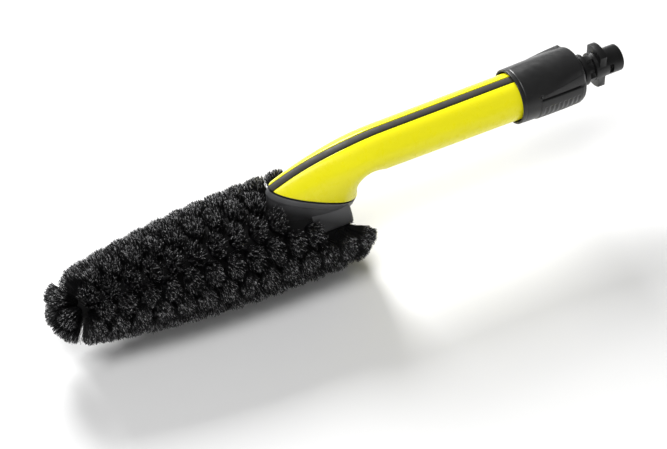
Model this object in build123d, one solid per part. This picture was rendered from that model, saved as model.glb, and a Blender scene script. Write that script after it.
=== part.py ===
from build123d import *
import os
from math import atan2, cos, degrees, radians, sin, sqrt, tan

# Hand-held wheel brush that plugs into a pressure-washer trigger gun.
# +X runs along the connector and handle towards the gun, +Z is up, on the side of the inlay strip.
# The origin is on the connector's axis, at the shoulder where the bayonet tail leaves the lugs.
# Water flows from the tail through the swivel spigot, the pipe and the inlet nipple into the
# hollow brush core, and leaves it by small holes between the bristle tufts.

# ---- connector and swivel (mm) ----
TAIL_R = 8.8
TAIL_LENGTH = 13.6
TAIL_BORE_R = 6.4
TAIL_CHAMFER = 0.7
TAIL_WINDOW_X = (2.9, 5.9)
TAIL_WINDOW_Z = (-3.0, 3.6)
LUG_R = 14.2
LUG_HALF_WIDTH = 8.0
LUG_THICKNESS = 4.8
SHOULDER_R = 9.2
SHOULDER_FRONT = -7.0
STEM_R = 6.2
RIB_R = 8.8
RIB_WIDTH = 4.0
RIB_ANGLES = (0, 112, 180, 248)
FLANGE_R = 10.3
FLANGE_REAR = -12.5
FLANGE_FRONT = -15.5
HUB_R = 9.5
HUB_FLAT = 8.4
HUB_FRONT = -23.1
SPIGOT_R = 7.0
SPIGOT_END = -52.0
WATER_R = 3.2
SEAL_POCKET_R = 5.3
SEAL_POCKET_DEPTH = 2.8
RING_GROOVES = (-42.5, -47.5)
RING_GROOVE_WIDTH = 2.2
RING_GROOVE_R = 5.4
CLIP_X = -33.0
CLIP_GROOVE_R = 5.4
CLIP_GROOVE_WIDTH = 2.2
RUNNING_GAP = 0.05
SOCKET_FLANGE_R = 15.3
SOCKET_FLANGE = 1.8
SOCKET_R = 12.8
SOCKET_END = -56.0
SOCKET_RIB_X = -46.0
SOCKET_RIB_R = 14.0
CLIP_HALF_WIDTH = 8.5
SOCKET_NIPPLE_LENGTH = 11.0
SOCKET_NIPPLE_GROOVE = (-8.6, -7.4)
SOCKET_NIPPLE_GROOVE_DEPTH = 0.65
WASHER_R = 13.5
SNAP_GROOVE_DEPTH = 0.9
SNAP_GROOVE_WIDTH = 1.4
SNAP_RING_R = 12.2

# ---- grip collar ----
COLLAR_FRONT = -66.4
COLLAR_REAR = -17.6
COLLAR_WEB = 4.0
COLLAR_MOUTH_R = 18.0
COLLAR_BELLY_R = 18.5
COLLAR_CREST_X = -21.0
COLLAR_SHOULDER_R = 12.6
COLLAR_BORE_R = 16.6
CUFF_FRONT = -54.0
CUFF_REAR = -22.5
CUFF_RISE = 0.55
CUFF_EDGE_ANGLE = 73
FIN_FRONT = -52.5
FIN_HEIGHT = 2.0
FIN_CREST_ANGLES = (66, 51)
FIN_SPREAD = 13
PAD_ANGLE = 108
PAD_RIBS = 7
PAD_RIB_PITCH = 3.4
PAD_GROOVE_HALF_WIDTH = 0.7
PAD_HALF_HEIGHT = 4.5
SLIT_HALF_WIDTH = 0.45

# ---- handle ----
HANDLE_REAR = -26.0
HANDLE_REAR_R = 15.6
HANDLE_FRONT_R = 14.8
BEND_X = -160.0
BEND_Z = -35.8
JOINT_ANGLE = 155.4
BEND_EASE = 0.12
HEEL_DROP = 3.1
HEEL_TUCK = 51.4
TUCK_POWERS = (1.5, 1.6)
TOP_RISE = 1.3
APEX_REACH = 31.3
APEX_POWER = 2.5
BEND_STEPS = 12
EGG_FULLNESS = 0.337
WALL = 2.6
STRIP_WIDTH = 5.0
STRIP_GAP = 0.6
STRIP_DEPTH = 1.3
SCREW_SPOTS = ((-82.0, -8.8), (-122.0, -8.8), (-184.0, -11.0))
SCREW_R = 1.3
SCREW_HEAD_R = 2.4
SCREW_SEAT_Y = 8.4
SCREW_HEAD_Y = 10.2
SCREW_SLOT = 0.8
BOSS_R = 3.2
BOSS_REACH = 13.2
EAR_HALF_WIDTH = 1.5

# ---- neck and head ----
NECK_DEPTH = 24.0
NECK_BAND = 5.6
NECK_GROOVE = 1.1
NECK_GROOVE_DEPTH = 0.9
NECK_STEP = 0.7
NECK_FRONT_TRIM = 7.0
LIP_HEIGHT = 2.2
LIP_LEAN = 2.6
LIP_HEEL_LEAN = 2.8
LIP_INSET = 3.05
LIP_INNER_INSET = 4.5
NECK_FLOOR_Z = -17.6
NECK_BOTTOM_Z = -41.0
SADDLE_RISE = 1.1
SADDLE_X = (-213.5, -187.0)
SADDLE_BOTTOM_Z = -35.2
SADDLE_FILLET = 2.4
HEAD_DROP = 40.8
CORE_R = 19.5
CORE_WALL = 7.0
CORE_ARC_R = 678.0
CORE_ARC_START = -235.0
CORE_NOSE_START = -363.0
CORE_SPLIT = -199.0
DOME_CENTRE_X = -195.0
DOME_R = 8.0
INLET_X = -211.0
NIPPLE_R = 3.55
NIPPLE_BORE_R = 2.3
NIPPLE_TOP_Z = -10.8
CORE_SEAT_Z = -25.3
NECK_SCREWS = ((-225.0, -17.6), (-193.0, -23.4))
NECK_SCREW_BOTTOM = -30.8
CAP_SPIGOT_LENGTH = 7.0
CAP_GROOVE = (-5.2, -3.2)
CAP_GROOVE_DEPTH = 1.2
CAP_SEAL_SECTION_R = 0.58
CORE_BOSS_R = 3.4
CHAMBER_FRONT = -348.0

# ---- water pipe ----
PIPE_R = 5.0
PIPE_BORE_R = 3.6
PIPE_REAR = -57.0
PIPE_BEND_R = 10.0
PIPE_FOOT_Z = -17.3
CLAMP_THICKNESS = 0.9

# ---- bristle tufts ----
TUFT_LENGTH = 17.2
SOCKET_DEPTH = 3.6
SOCKET_CLEARANCE = 0.05
END_SOCKET_DEPTH = 2.0
TUFT_ROOT_R = 2.2
END_ROOT_R = 1.8
TUFT_TIP_R = 5.8
END_TIP_R = 5.0
TUFT_ROWS = 6
RING_FIRST_X = -360.0
RING_STEP = 6.75
RING_COUNT = 25
NOSE_POLAR = 42
DOME_POLARS = (64, 46)
NECK_CLEAR = ((-238.0, 45), (-214.0, 80))
OUTLET_R = 0.9
OUTLET_STEP = 27.0
OUTLET_COUNT = 5


def rod(radius, x0, x1, y=0.0, z=0.0):
    """Cylinder along X between two stations."""
    start = min(x0, x1)
    return Pos(start, y, z) * Rot(0, 90, 0) * Cylinder(
        radius, abs(x1 - x0), align=(Align.CENTER, Align.CENTER, Align.MIN))


def tube(outer, inner, x0, x1):
    """Hollow cylinder along X between two stations."""
    return rod(outer, x0, x1) - rod(inner, x0, x1)


def upright(radius, x, z0, z1, y=0.0):
    """Cylinder along Z between two heights."""
    return Pos(x, y, min(z0, z1)) * Cylinder(
        radius, abs(z1 - z0), align=(Align.CENTER, Align.CENTER, Align.MIN))


def crossways(radius, x, z, y0, y1):
    """Cylinder along Y between two stations."""
    return Pos(x, min(y0, y1), z) * Rot(-90, 0, 0) * Cylinder(
        radius, abs(y1 - y0), align=(Align.CENTER, Align.CENTER, Align.MIN))


def block(x, y, z):
    """Box from three (low, high) pairs."""
    size = [pair[1] - pair[0] for pair in (x, y, z)]
    centre = [(pair[0] + pair[1]) / 2 for pair in (x, y, z)]
    return Pos(*centre) * Box(*size)


def o_ring(x, centre_r, section_r):
    """Round seal around the X axis."""
    profile = Plane.XZ * Pos(x, centre_r) * Circle(section_r)
    return revolve(profile, Axis.X)


def slab_outline(points, half_width):
    """Straight-sided plate, symmetric about Y = 0, from (x, z) points."""
    return extrude(Plane.XZ * make_face(Polyline(*points, close=True)), half_width, both=True)


# ---- coupling -------------------------------------------------------------------------------

def bayonet_connector():
    """Tail, two bayonet lugs, ribbed stem, flange, hub and the swivel spigot in one moulding."""
    lug_disc = rod(LUG_R, -LUG_THICKNESS, 0)
    lugs = lug_disc & block((-LUG_THICKNESS, 0), (-LUG_HALF_WIDTH, LUG_HALF_WIDTH), (-LUG_R, LUG_R))
    body = rod(TAIL_R, -LUG_THICKNESS, TAIL_LENGTH)
    body = chamfer(body.edges().group_by(Axis.X)[-1], TAIL_CHAMFER)
    body += lugs + rod(SHOULDER_R, SHOULDER_FRONT, 0)
    body += rod(STEM_R, FLANGE_REAR, SHOULDER_FRONT)
    for angle in RIB_ANGLES:
        width = (-RIB_WIDTH / 2, RIB_WIDTH / 2)
        rib = block((FLANGE_REAR, SHOULDER_FRONT), width, (STEM_R - 1, RIB_R))
        body += Rot(angle, 0, 0) * rib
    body += rod(FLANGE_R, FLANGE_FRONT, FLANGE_REAR)
    flats = block((HUB_FRONT, FLANGE_FRONT), (-HUB_FLAT, HUB_FLAT), (-HUB_R, HUB_R))
    body += rod(HUB_R, HUB_FRONT, FLANGE_FRONT) & flats
    body += rod(SPIGOT_R, SPIGOT_END, HUB_FRONT)
    body -= rod(TAIL_BORE_R, 0, TAIL_LENGTH)
    body -= rod(SEAL_POCKET_R, -SEAL_POCKET_DEPTH, 0)
    body -= rod(WATER_R, SPIGOT_END, 0)
    body -= block(TAIL_WINDOW_X, (-TAIL_R, TAIL_R), TAIL_WINDOW_Z)
    for x in RING_GROOVES:
        half = RING_GROOVE_WIDTH / 2
        body -= tube(SPIGOT_R + 1, RING_GROOVE_R, x - half, x + half)
    half = CLIP_GROOVE_WIDTH / 2
    body -= tube(SPIGOT_R + 1, CLIP_GROOVE_R, CLIP_X - half, CLIP_X + half)
    body -= tube(HUB_R + 1, HUB_R - SNAP_GROOVE_DEPTH, HUB_FRONT, HUB_FRONT + SNAP_GROOVE_WIDTH)
    return body


def inlet_seal():
    """O-ring at the bottom of the tail, against the gun's nozzle."""
    return o_ring(-SEAL_POCKET_DEPTH / 2, SEAL_POCKET_R - 1.05, 1.0)


def spigot_seals():
    """Two O-rings in the spigot's grooves, squeezed just short of the socket's bore."""
    section_r = (SPIGOT_R + 0.02 - RING_GROOVE_R) / 2
    return [o_ring(x, RING_GROOVE_R + section_r, section_r) for x in RING_GROOVES]


def collar_body():
    """Barrel-shaped sleeve, open at the front, with a rear shoulder and an inner web."""
    outline = Polyline(
        (COLLAR_CREST_X, COLLAR_BELLY_R - 0.3), (COLLAR_CREST_X + 1.6, COLLAR_BELLY_R - 1.7),
        (COLLAR_REAR, COLLAR_SHOULDER_R), (COLLAR_REAR, 0), (COLLAR_FRONT, 0),
        (COLLAR_FRONT, COLLAR_MOUTH_R - 0.5), (COLLAR_FRONT + 0.5, COLLAR_MOUTH_R))
    belly = ThreePointArc((COLLAR_FRONT + 0.5, COLLAR_MOUTH_R), (-38.0, COLLAR_BELLY_R),
                          (COLLAR_CREST_X, COLLAR_BELLY_R - 0.3))
    return revolve(Plane.XZ * make_face(outline + belly), Axis.X)


def collar_sector(angle, radius, x0, x1):
    """Pie slice of the underside, from one edge angle round the bottom to the other."""
    reach = radius * 2
    top = (reach * sin(radians(angle)), reach * cos(radians(angle)))
    points = [(0, 0), (-top[0], top[1]), (-reach, -reach), (reach, -reach), (top[0], top[1])]
    wedge = extrude(Plane.YZ * make_face(Polyline(*points, close=True)), x1 - x0)
    return Pos(x0, 0, 0) * wedge


def collar_fin(side):
    """Raised finger fin that widens towards the rear along one side of the collar."""
    root = COLLAR_BELLY_R - 1.2

    def section(x, crest_angle, crest_r):
        corners = [(root, crest_angle - FIN_SPREAD), (crest_r, crest_angle),
                   (COLLAR_BELLY_R - 0.2, CUFF_EDGE_ANGLE - 2), (root, CUFF_EDGE_ANGLE - 2)]
        points = [(side * radius * sin(radians(turn)), radius * cos(radians(turn)))
                  for radius, turn in corners]
        return Pos(x, 0, 0) * (Plane.YZ * make_face(Polyline(*points, close=True)))

    front = section(FIN_FRONT, FIN_CREST_ANGLES[0], COLLAR_BELLY_R + 0.1)
    rear = section(CUFF_REAR - 1.0, FIN_CREST_ANGLES[1], COLLAR_BELLY_R + FIN_HEIGHT)
    return loft([front, rear])


def on_flank(shape, side, angle):
    """Turn a shape that lies along +Y to an angle from the top, on either side of the collar."""
    lean = Rot(90 - angle, 0, 0) if side > 0 else Rot(angle - 90, 0, 0) * Rot(0, 0, 180)
    return lean * shape


def collar_slit():
    """Long slit above the cuff, drawn along +Y; flanks are mirrored about the collar's middle."""
    depth = (COLLAR_BORE_R + 1.1, COLLAR_BELLY_R + 2)
    return block((CUFF_FRONT + 1.5, CUFF_REAR - 2.5), depth, (-SLIT_HALF_WIDTH, SLIT_HALF_WIDTH))


def pad_grooves():
    """Row of shallow grooves between the cuff's grip ribs, drawn along +Y."""
    middle = (CUFF_FRONT + CUFF_REAR) / 2
    grooves = []
    for index in range(PAD_RIBS):
        x = middle + (index - (PAD_RIBS - 1) / 2) * PAD_RIB_PITCH
        width = (x - PAD_GROOVE_HALF_WIDTH, x + PAD_GROOVE_HALF_WIDTH)
        depth = (COLLAR_BELLY_R - 0.1, COLLAR_BELLY_R + 2)
        grooves.append(block(width, depth, (-PAD_HALF_HEIGHT, PAD_HALF_HEIGHT)))
    return grooves


def grip_collar():
    """Turning sleeve: keyed to the connector's hub, it covers the rear end of the handle."""
    collar = collar_body()
    cuff = tube(COLLAR_BELLY_R + CUFF_RISE, COLLAR_BORE_R, CUFF_FRONT, CUFF_REAR)
    cuff = chamfer(cuff.edges().filter_by(GeomType.CIRCLE).sort_by(SortBy.RADIUS)[-2:], 0.5)
    collar += cuff & collar_sector(CUFF_EDGE_ANGLE, COLLAR_BELLY_R, CUFF_FRONT, CUFF_REAR)
    for side in (-1, 1):
        collar += collar_fin(side)
        collar -= on_flank(collar_slit(), side, CUFF_EDGE_ANGLE)
        for groove in pad_grooves():
            collar -= on_flank(groove, side, PAD_ANGLE)
    collar -= rod(COLLAR_BORE_R, COLLAR_FRONT, COLLAR_REAR - COLLAR_WEB)
    fit = HUB_R + RUNNING_GAP
    flat = HUB_FLAT + RUNNING_GAP
    web = (COLLAR_REAR - COLLAR_WEB, COLLAR_REAR)
    keyed = rod(fit, *web) & block(web, (-flat, flat), (-fit, fit))
    return collar - keyed


def collar_snap_ring():
    """Split steel ring in the hub's groove that keeps the collar against the flange."""
    inner_r = HUB_R - SNAP_GROOVE_DEPTH + 0.05
    ring = tube(SNAP_RING_R, inner_r, HUB_FRONT + 0.15, HUB_FRONT + SNAP_GROOVE_WIDTH - 0.05)
    return ring - block((HUB_FRONT, HUB_FRONT + 2), (-1.5, 1.5), (-SNAP_RING_R - 1, 0))


# ---- handle ---------------------------------------------------------------------------------

def bend_radii(angle):
    """Distances from the bend's pivot to the handle's underside and to its top, at a fan angle."""
    share = min((angle - 90) / (JOINT_ANGLE - 90), 1)
    ease = (1 + BEND_EASE) * share ** 2 / (share + BEND_EASE)
    tuck = HEEL_TUCK * share ** TUCK_POWERS[0] * (1 - share) ** TUCK_POWERS[1]
    under = -BEND_Z - HANDLE_FRONT_R - HEEL_DROP * ease + tuck
    top = -BEND_Z + HANDLE_FRONT_R + TOP_RISE * ease + APEX_REACH * share ** APEX_POWER
    return under, top


def egg_face(near, far, half_width, fullness):
    """Egg outline in a section plane whose local X runs from the underside to the top."""
    widest = near + (far - near) * fullness
    front = EllipticalCenterArc((widest, 0), far - widest, half_width, -90, arc_size=180)
    rear = EllipticalCenterArc((widest, 0), widest - near, half_width, 90, arc_size=180)
    return make_face(front + rear)


def half_egg_face(near, far, half_width, fullness, side):
    """Half of the egg outline, closed along the middle; side is the sign of Y."""
    widest = near + (far - near) * fullness
    front = EllipticalCenterArc((widest, 0), far - widest, half_width, 0, arc_size=90 * side)
    rear = EllipticalCenterArc((widest, 0), widest - near, half_width, 90 * side, arc_size=90 * side)
    return make_face(front + rear + Line((near, 0), (far, 0)))


def along_handle(section):
    """Loft section(underside, top, half width, fullness) down the tube and round the foot's fan."""
    rear = Plane(origin=(HANDLE_REAR, 0, 0), x_dir=(0, 0, 1), z_dir=(-1, 0, 0))
    faces = [rear * section(-HANDLE_REAR_R, HANDLE_REAR_R, HANDLE_REAR_R, 0.5)]
    for step in range(BEND_STEPS + 1):
        share = step / BEND_STEPS
        angle = radians(90 + (JOINT_ANGLE - 90) * share)
        under, top = bend_radii(degrees(angle))
        plane = Plane(origin=(BEND_X, 0, BEND_Z), x_dir=(cos(angle), 0, sin(angle)),
                      z_dir=(-sin(angle), 0, cos(angle)))
        fullness = 0.5 + (EGG_FULLNESS - 0.5) * share
        faces.append(plane * section(under, top, HANDLE_FRONT_R, fullness))
    return loft(faces, ruled=True)


def handle_half(side, inset):
    """Half of the handle's body on one side, inside its skin by the given inset."""
    return along_handle(lambda under, top, half_width, fullness: half_egg_face(
        under + inset, top - inset, half_width - inset, fullness, side))


def ridge_bar(half_width, depth, rise):
    """Bar that follows the handle's top line, from a depth below it to a rise above it."""
    def section(under, top, half_width_there, fullness):
        height = depth + rise
        return Pos(top + rise - height / 2, 0) * Rectangle(height, 2 * half_width)

    return along_handle(section)


def joint_plane(drop=0.0):
    """Plane of the joint between handle and neck; local X points to the front apex, Z down."""
    direction = Vector(cos(radians(JOINT_ANGLE)), 0, sin(radians(JOINT_ANGLE)))
    down = Vector(-direction.Z, 0, direction.X)
    return Plane(origin=Vector(BEND_X, 0, BEND_Z) + down * drop, x_dir=direction, z_dir=down)


def screw_boss(x, z, side):
    """Boss from the shell's wall to the seam, or to the neck's ear at the lowest screw."""
    start = EAR_HALF_WIDTH + 0.2 if (x, z) == SCREW_SPOTS[-1] else 0.2
    return crossways(BOSS_R, x, z, side * start, side * BOSS_REACH)


def handle_shell(side):
    """One half of the handle: side -1 is the left shell, +1 the right one."""
    inner = handle_half(side, WALL)
    shell = handle_half(side, 0) - inner
    shell -= ridge_bar(STRIP_WIDTH / 2 + STRIP_GAP, STRIP_DEPTH, 2)
    for x, z in SCREW_SPOTS:
        shell += screw_boss(x, z, side) & inner
        if side < 0:
            shell -= crossways(SCREW_R, x, z, -9.0, 0)
        else:
            shell -= crossways(SCREW_R + 0.15, x, z, 0, 20)
            shell -= crossways(SCREW_HEAD_R + 0.15, x, z, SCREW_SEAT_Y, 20)
    shell -= rod(SOCKET_RIB_R + 0.1, SOCKET_RIB_X - 1.6, SOCKET_RIB_X + 1.6)
    return shell


def handle_screws():
    """Three slotted screws that clamp the shells together."""
    screws = []
    for x, z in SCREW_SPOTS:
        shank = crossways(SCREW_R, x, z, -8.5, SCREW_SEAT_Y)
        head = crossways(SCREW_HEAD_R, x, z, SCREW_SEAT_Y, SCREW_HEAD_Y)
        half_slot = SCREW_SLOT / 2
        slot = block((x - half_slot, x + half_slot), (SCREW_HEAD_Y - 0.9, 11), (z - 1.8, z + 1.8))
        screws.append(shank + head - slot)
    return screws


def top_strip():
    """Soft inlay that covers the seam along the top of the handle."""
    return ridge_bar(STRIP_WIDTH / 2, STRIP_DEPTH, -0.12)


# ---- swivel socket --------------------------------------------------------------------------

def swivel_socket():
    """Bush fixed in the handle's rear end: bore for the spigot, slot for its clip, pipe nipple."""
    body = rod(SOCKET_R, SOCKET_END, HANDLE_REAR)
    body += rod(SOCKET_FLANGE_R, HANDLE_REAR, HANDLE_REAR + SOCKET_FLANGE)
    body += rod(SOCKET_RIB_R, SOCKET_RIB_X - 1.5, SOCKET_RIB_X + 1.5)
    nipple_end = SOCKET_END - SOCKET_NIPPLE_LENGTH
    body += rod(NIPPLE_R, nipple_end, SOCKET_END)
    body -= rod(SPIGOT_R + RUNNING_GAP, SPIGOT_END - 0.6, HANDLE_REAR + SOCKET_FLANGE)
    body -= rod(NIPPLE_BORE_R, nipple_end, SPIGOT_END)
    clip_y = CLIP_HALF_WIDTH + 0.2
    body -= block((CLIP_X - 0.85, CLIP_X + 0.85), (-clip_y, clip_y), (-8.1, SOCKET_R))
    groove_x = [SOCKET_END + step for step in SOCKET_NIPPLE_GROOVE]
    body -= tube(NIPPLE_R + 1, NIPPLE_R - SOCKET_NIPPLE_GROOVE_DEPTH, *groove_x)
    return body


def socket_clip():
    """U-shaped steel clip through the socket, in the spigot's groove."""
    clip = block((CLIP_X - 0.8, CLIP_X + 0.8), (-CLIP_HALF_WIDTH, CLIP_HALF_WIDTH), (-8.0, 9.3))
    gap = CLIP_GROOVE_R + 0.1
    return clip - block((CLIP_X - 1, CLIP_X + 1), (-gap, gap), (-9, 7.4))


def thrust_washer():
    """Plain washer between the socket's flange and the turning hub."""
    return tube(WASHER_R, SPIGOT_R + 0.4, HANDLE_REAR + SOCKET_FLANGE, HUB_FRONT - 0.1)


# ---- water pipe -----------------------------------------------------------------------------

def pipe_path():
    """Straight run down the handle, one elbow, and a short drop to the core's nipple."""
    corners = [(PIPE_REAR, 0, 0), (INLET_X, 0, 0), (INLET_X, 0, PIPE_FOOT_Z)]
    return FilletPolyline(*corners, radius=PIPE_BEND_R)


def water_pipe():
    """Pipe from the swivel socket to the brush core."""
    path = pipe_path()
    start = Plane(origin=(PIPE_REAR, 0, 0), z_dir=(-1, 0, 0))
    return sweep(start * Circle(PIPE_R), path=path) - sweep(start * Circle(PIPE_BORE_R), path=path)


def pipe_clamps():
    """Two spring bands that press the pipe onto its nipples."""
    outer_r = PIPE_R + CLAMP_THICKNESS
    inner_r = PIPE_R + 0.02
    rear = tube(outer_r, inner_r, PIPE_REAR - 8, PIPE_REAR - 4)
    front = upright(outer_r, INLET_X, PIPE_FOOT_Z + 0.4, PIPE_FOOT_Z + 1.3)
    front -= upright(inner_r, INLET_X, PIPE_FOOT_Z, PIPE_FOOT_Z + 2)
    return [rear, front]


def nipple_seal():
    """Small O-ring on the swivel socket's nipple."""
    section_r = 0.3
    groove_r = NIPPLE_R - SOCKET_NIPPLE_GROOVE_DEPTH
    return o_ring(SOCKET_END + sum(SOCKET_NIPPLE_GROOVE) / 2, groove_r + section_r + 0.02, section_r)


# ---- brush core -----------------------------------------------------------------------------

def core_radius(x, inset=0.0):
    """Outer radius of the core on its cylindrical and tapering stretch."""
    if x >= CORE_ARC_START:
        return CORE_R - inset
    run = CORE_ARC_START - x
    return CORE_R - CORE_ARC_R + sqrt(CORE_ARC_R ** 2 - run ** 2) - inset


def core_slope(x):
    """Angle in degrees by which the core's surface leans towards the nose."""
    run = max(CORE_ARC_START - x, 0)
    return degrees(atan2(run, sqrt(CORE_ARC_R ** 2 - run ** 2)))


NOSE_SLOPE = core_slope(CORE_NOSE_START)
NOSE_CENTRE_X = CORE_NOSE_START + core_radius(CORE_NOSE_START) * tan(radians(NOSE_SLOPE))
NOSE_R = core_radius(CORE_NOSE_START) / cos(radians(NOSE_SLOPE))


def head_frame():
    """Frame on the head's axis; local X and radius stay in the part's X and Z directions."""
    return Pos(0, 0, -HEAD_DROP)


def core_outer():
    """Outer form of the core: rear dome, barrel, tapering arc and round nose."""
    nose_mid = radians(90 + (90 - NOSE_SLOPE) / 2)
    dome_mid = radians(45)
    rear_x = DOME_CENTRE_X + DOME_R
    flat_r = CORE_R - DOME_R
    arc_middle = (CORE_ARC_START + CORE_NOSE_START) / 2
    nose_point = (NOSE_CENTRE_X - NOSE_R * sin(nose_mid - radians(90) + radians(NOSE_SLOPE)),
                  NOSE_R * cos(nose_mid - radians(90) + radians(NOSE_SLOPE)))
    outline = Polyline((NOSE_CENTRE_X - NOSE_R, 0), (rear_x, 0), (rear_x, flat_r))
    dome_point = (DOME_CENTRE_X + DOME_R * cos(dome_mid), flat_r + DOME_R * sin(dome_mid))
    outline += ThreePointArc((rear_x, flat_r), dome_point, (DOME_CENTRE_X, CORE_R))
    outline += Line((DOME_CENTRE_X, CORE_R), (CORE_ARC_START, CORE_R))
    outline += ThreePointArc((CORE_ARC_START, CORE_R), (arc_middle, core_radius(arc_middle)),
                             (CORE_NOSE_START, core_radius(CORE_NOSE_START)))
    outline += ThreePointArc((CORE_NOSE_START, core_radius(CORE_NOSE_START)), nose_point,
                             (NOSE_CENTRE_X - NOSE_R, 0))
    return head_frame() * revolve(Plane.XZ * make_face(outline), Axis.X)


def core_chamber():
    """Water chamber: the core's barrel less its wall, open at the rear."""
    front_x = CHAMBER_FRONT
    middle_x = (CORE_ARC_START + front_x) / 2
    outline = Polyline((front_x, 0), (CORE_SPLIT, 0), (CORE_SPLIT, core_radius(CORE_SPLIT, CORE_WALL)),
                       (CORE_ARC_START, core_radius(CORE_ARC_START, CORE_WALL)))
    outline += ThreePointArc((CORE_ARC_START, core_radius(CORE_ARC_START, CORE_WALL)),
                             (middle_x, core_radius(middle_x, CORE_WALL)),
                             (front_x, core_radius(front_x, CORE_WALL)))
    outline += Line((front_x, core_radius(front_x, CORE_WALL)), (front_x, 0))
    return head_frame() * revolve(Plane.XZ * make_face(outline), Axis.X)


def outlet_holes():
    """Small radial water holes in the gaps between the tufts."""
    holes = []
    for ring in range(OUTLET_COUNT):
        x = RING_FIRST_X + RING_STEP / 2 + OUTLET_STEP * (ring + 1)
        for angle in range(15, 360, 60):
            hole = upright(OUTLET_R, x, 0, CORE_R + 2)
            holes.append(head_frame() * Rot(angle + 30 * (ring % 2), 0, 0) * hole)
    return holes


def seat_cut():
    """Space above the flat seat on which the neck stands."""
    return block((NECK_CLEAR[0][0], -170), (-40, 40), (CORE_SEAT_Z, 40))


def brush_core(outer, spots):
    """Hollow core with blind tuft sockets, neck seat, inlet nipple and a boss for the neck screw."""
    front = block((-400, CORE_SPLIT), (-40, 40), (-90, 20))
    core = (outer & front) - core_chamber() - seat_cut()
    screw_x, _ = NECK_SCREWS[0]
    core += upright(CORE_BOSS_R, screw_x, NECK_SCREW_BOTTOM - 2.4, CORE_SEAT_Z - 1)
    core += upright(NIPPLE_R, INLET_X, CORE_SEAT_Z - 1, NIPPLE_TOP_Z)
    core -= upright(NIPPLE_BORE_R, INLET_X, CORE_SEAT_Z - CORE_WALL, NIPPLE_TOP_Z)
    core -= outlet_holes() + sockets(spots)
    return core - upright(SCREW_R, screw_x, NECK_SCREW_BOTTOM - 0.4, CORE_SEAT_Z)


def core_end_cap(outer, spots):
    """Domed rear end of the core, plugged into the chamber with an O-ring."""
    rear = block((CORE_SPLIT, -170), (-40, 40), (-90, 20))
    seat_r = core_radius(CORE_SPLIT, CORE_WALL) - RUNNING_GAP
    cap = (outer & rear) + head_frame() * rod(seat_r, CORE_SPLIT - CAP_SPIGOT_LENGTH, CORE_SPLIT)
    cap -= seat_cut()
    cap -= head_frame() * rod(seat_r - 3.2, CORE_SPLIT - CAP_SPIGOT_LENGTH, CORE_SPLIT + 4)
    groove_x = [CORE_SPLIT + step for step in CAP_GROOVE]
    cap -= head_frame() * tube(seat_r + 1, seat_r - CAP_GROOVE_DEPTH, *groove_x)
    cap -= sockets(spots)
    screw_x, _ = NECK_SCREWS[1]
    return cap - upright(SCREW_R, screw_x, NECK_SCREW_BOTTOM - 0.3, CORE_SEAT_Z)


def end_cap_seal():
    """O-ring between the end cap's spigot and the chamber."""
    groove_r = core_radius(CORE_SPLIT, CORE_WALL) - RUNNING_GAP - CAP_GROOVE_DEPTH
    ring_r = groove_r + CAP_SEAL_SECTION_R + 0.02
    return head_frame() * o_ring(CORE_SPLIT + sum(CAP_GROOVE) / 2, ring_r, CAP_SEAL_SECTION_R)


# ---- neck -----------------------------------------------------------------------------------

def neck_egg(inset, drop, trim=0.0, heel=0.0):
    """Egg outline of the neck in a plane parallel to the joint, cut back at the front and the heel."""
    under, top = bend_radii(JOINT_ANGLE)
    near = under + inset + heel
    far = top - inset - trim
    return joint_plane(drop) * egg_face(near, far, HANDLE_FRONT_R - inset, EGG_FULLNESS)


def neck_housing(outer_core):
    """Black foot that carries the core: stepped skirt, floor, and a lip inside the handle."""
    groove = loft([neck_egg(NECK_GROOVE_DEPTH, 0), neck_egg(NECK_GROOVE_DEPTH, NECK_GROOVE)])
    band = loft([neck_egg(0, NECK_GROOVE), neck_egg(0.2, NECK_BAND)])
    skirt = loft([neck_egg(NECK_STEP, NECK_BAND), neck_egg(1.9, NECK_DEPTH, trim=NECK_FRONT_TRIM)])
    lip = loft([neck_egg(LIP_INSET, -LIP_HEIGHT, LIP_LEAN, LIP_HEEL_LEAN), neck_egg(LIP_INSET, 0)])
    cavity = loft([neck_egg(LIP_INNER_INSET, 0), neck_egg(6.0, NECK_DEPTH, trim=NECK_FRONT_TRIM)])
    floor_up = block((-300, -150), (-40, 40), (NECK_FLOOR_Z, 40))
    neck = groove + band + skirt + lip - (cavity & floor_up) - neck_lip_space()
    neck += neck_ear() + neck_saddle()
    neck &= block((-300, -150), (-40, 40), (NECK_BOTTOM_Z, 40))
    neck -= outer_core - seat_cut()
    neck -= upright(NIPPLE_R + 0.3, INLET_X, -30, 0)
    for x, seat_z in NECK_SCREWS:
        neck -= upright(SCREW_R + 0.2, x, -30, seat_z + 1)
        neck -= upright(SCREW_HEAD_R + 0.3, x, seat_z, 0)
    return neck


def neck_saddle():
    """Flanks of the skirt that lie on the rear end of the core, above the tufts beside the neck."""
    front_x, rear_x = SADDLE_X
    drum = rod(CORE_R + SADDLE_RISE, front_x, rear_x)
    drum = fillet(drum.edges().group_by(Axis.X)[-1], SADDLE_FILLET)
    return (head_frame() * drum) & block(SADDLE_X, (-40, 40), (SADDLE_BOTTOM_Z, NECK_FLOOR_Z))


def neck_lip_space():
    """Space above the joint inside the lip, down to the joint plane."""
    top = neck_egg(LIP_INNER_INSET, -LIP_HEIGHT, LIP_LEAN, LIP_HEEL_LEAN)
    return loft([top, neck_egg(LIP_INNER_INSET, 0)])


def neck_ear():
    """Tongue that rises from the neck into the handle and takes its lowest screw."""
    x, z = SCREW_SPOTS[-1]
    outline = [(x - 4.0, z - 20.0), (x + 2.4, z - 20.0), (x + 3.1, z + 1.2), (x + 1.6, z + 2.8),
               (x - 2.2, z + 2.8), (x - 4.0, z + 0.6)]
    return slab_outline(outline, EAR_HALF_WIDTH) - crossways(SCREW_R + 0.2, x, z, -3, 3)


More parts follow.
